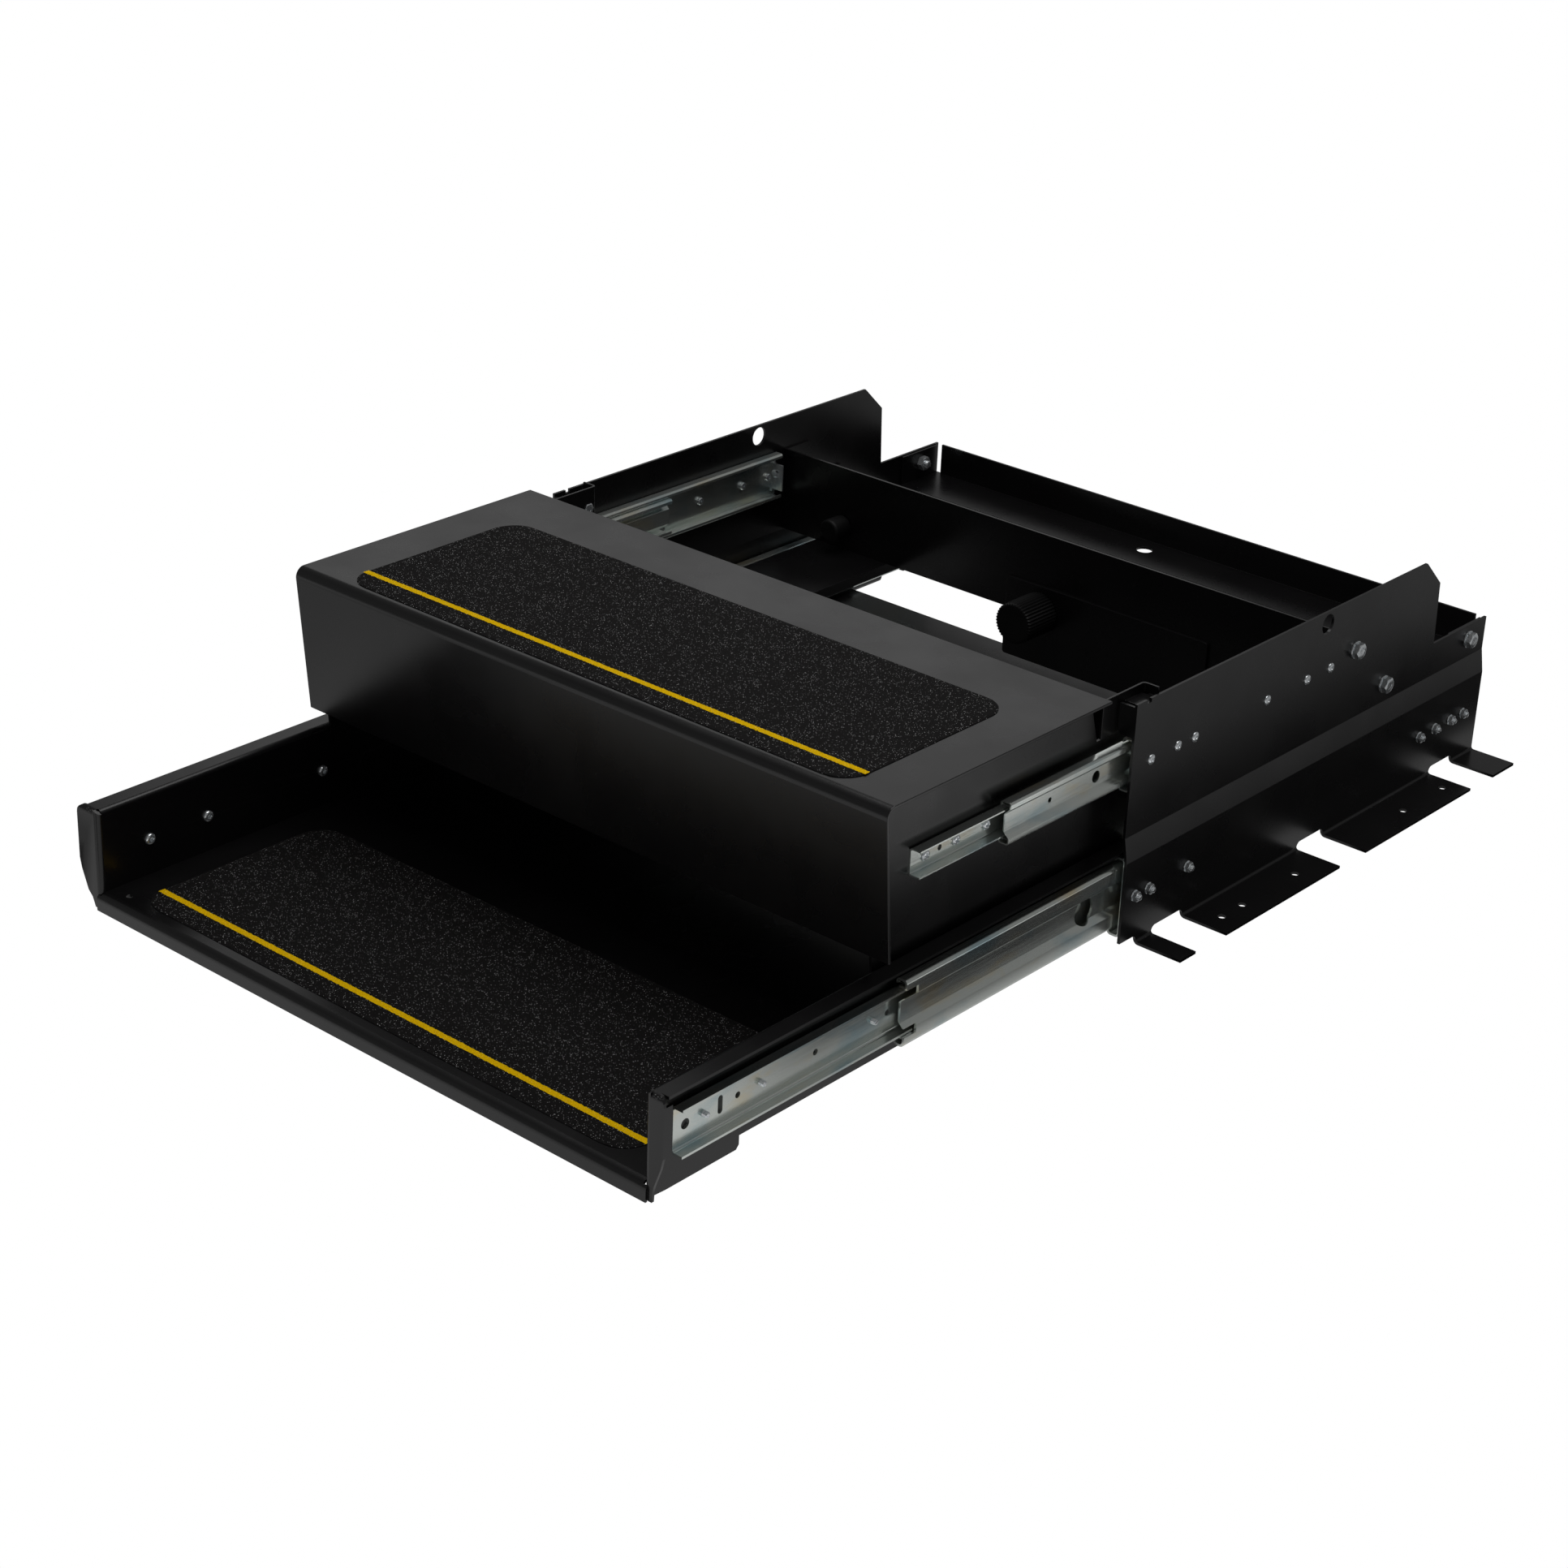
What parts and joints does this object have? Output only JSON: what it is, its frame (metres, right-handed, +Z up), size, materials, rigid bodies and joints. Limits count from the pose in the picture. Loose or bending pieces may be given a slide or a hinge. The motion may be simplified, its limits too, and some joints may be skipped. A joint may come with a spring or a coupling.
{
  "type": "caravan pull out step",
  "caption": "Black sheet steel pull-out step for a caravan door: a box-section upper tread and a shallow lower tray slide out of a bolted housing on ball bearing slides.",
  "frame": {"origin": "centre of the rectangle of outer foot holes, on the underside of the feet", "axes": "+Y points back under the vehicle, the way both steps close; +Z up; +X to the right seen from the front. X = 0 is the middle of the step."},
  "size_m": [0.742, 1.093, 0.2326],
  "materials": {
    "housing_black": "semi-gloss black powder coat",
    "step_black": "semi-gloss black powder coat",
    "slide_zinc": "bright zinc plated rolled steel with a faint yellow-green sheen",
    "fastener_zinc": "bright zinc plated",
    "cage_steel": "plain pressed steel",
    "ball_steel": "polished bearing steel",
    "buffer_rubber": "moulded dark grey rubber",
    "grip_pad": "mineral-coated anti-slip tape, charcoal",
    "stripe_yellow": "matte yellow marking stripe"
  },
  "bodies": {
    "housing": {"side_plate_right": "housing_black", "side_plate_left": "housing_black", "front_post_right": "housing_black", "front_post_left": "housing_black", "post_screws": "fastener_zinc", "post_nuts": "fastener_zinc", "stop_beam": "housing_black", "rear_pan": "housing_black", "bottom_tie": "housing_black", "guard_shelf_right": "housing_black", "guard_shelf_left": "housing_black", "buffer_plate": "housing_black", "middle_buffer": "buffer_rubber", "side_buffers": "buffer_rubber", "buffer_screws": "fastener_zinc", "frame_bolts": "fastener_zinc", "frame_washers": "fastener_zinc", "frame_nuts": "fastener_zinc", "upper_outer_slide_right": "slide_zinc", "upper_outer_slide_left": "slide_zinc", "upper_slide_screws": "fastener_zinc", "upper_end_stops": "fastener_zinc", "lower_outer_slide_right": "slide_zinc", "lower_outer_slide_left": "slide_zinc", "lower_slide_bolts": "fastener_zinc", "lower_slide_nuts": "fastener_zinc"},
    "upper_step": {"upper_tread": "step_black", "upper_panel_right": "step_black", "upper_panel_left": "step_black", "upper_rear_rail": "step_black", "upper_grip_pad": "grip_pad", "upper_stripe": "stripe_yellow", "upper_inner_slide_right": "slide_zinc", "upper_inner_slide_left": "slide_zinc", "upper_inner_screws": "fastener_zinc"},
    "upper_middle_right": {"upper_mid_slide_right": "slide_zinc", "upper_cage_right": "cage_steel", "upper_balls_right": "ball_steel"},
    "upper_middle_left": {"upper_mid_slide_left": "slide_zinc", "upper_cage_left": "cage_steel", "upper_balls_left": "ball_steel"},
    "lower_step": {"tray_floor": "step_black", "tray_wall_right": "step_black", "tray_wall_left": "step_black", "lower_grip_pad": "grip_pad", "lower_stripe": "stripe_yellow", "lower_inner_slide_right": "slide_zinc", "lower_inner_slide_left": "slide_zinc", "lower_inner_screws": "fastener_zinc"},
    "lower_middle_right": {"lower_mid_slide_right": "slide_zinc", "lower_cage_right": "cage_steel", "lower_balls_right": "ball_steel"},
    "lower_middle_left": {"lower_mid_slide_left": "slide_zinc", "lower_cage_left": "cage_steel", "lower_balls_left": "ball_steel"}
  },
  "joints": [
    {"name": "upper_step_slide", "type": "slide", "parent": "housing", "child": "upper_step", "axis": [0, 1, 0], "range_m": [0, 0.253]},
    {"name": "upper_middle_right_slide", "type": "slide", "parent": "housing", "child": "upper_middle_right", "axis": [0, 1, 0], "range_m": [0, 0.1511]},
    {"name": "upper_middle_left_slide", "type": "slide", "parent": "housing", "child": "upper_middle_left", "axis": [0, 1, 0], "range_m": [0, 0.1511]},
    {"name": "lower_step_slide", "type": "slide", "parent": "housing", "child": "lower_step", "axis": [0, 1, 0], "range_m": [0, 0.51]},
    {"name": "lower_middle_right_slide", "type": "slide", "parent": "housing", "child": "lower_middle_right", "axis": [0, 1, 0], "range_m": [0, 0.2691]},
    {"name": "lower_middle_left_slide", "type": "slide", "parent": "housing", "child": "lower_middle_left", "axis": [0, 1, 0], "range_m": [0, 0.2691]}
  ],
  "couplings": [
    {"joint": "upper_middle_right_slide", "follows": "upper_step_slide", "ratio": 0.5968},
    {"joint": "upper_middle_left_slide", "follows": "upper_step_slide", "ratio": 0.5968},
    {"joint": "lower_middle_right_slide", "follows": "lower_step_slide", "ratio": 0.5274},
    {"joint": "lower_middle_left_slide", "follows": "lower_step_slide", "ratio": 0.5274}
  ]
}
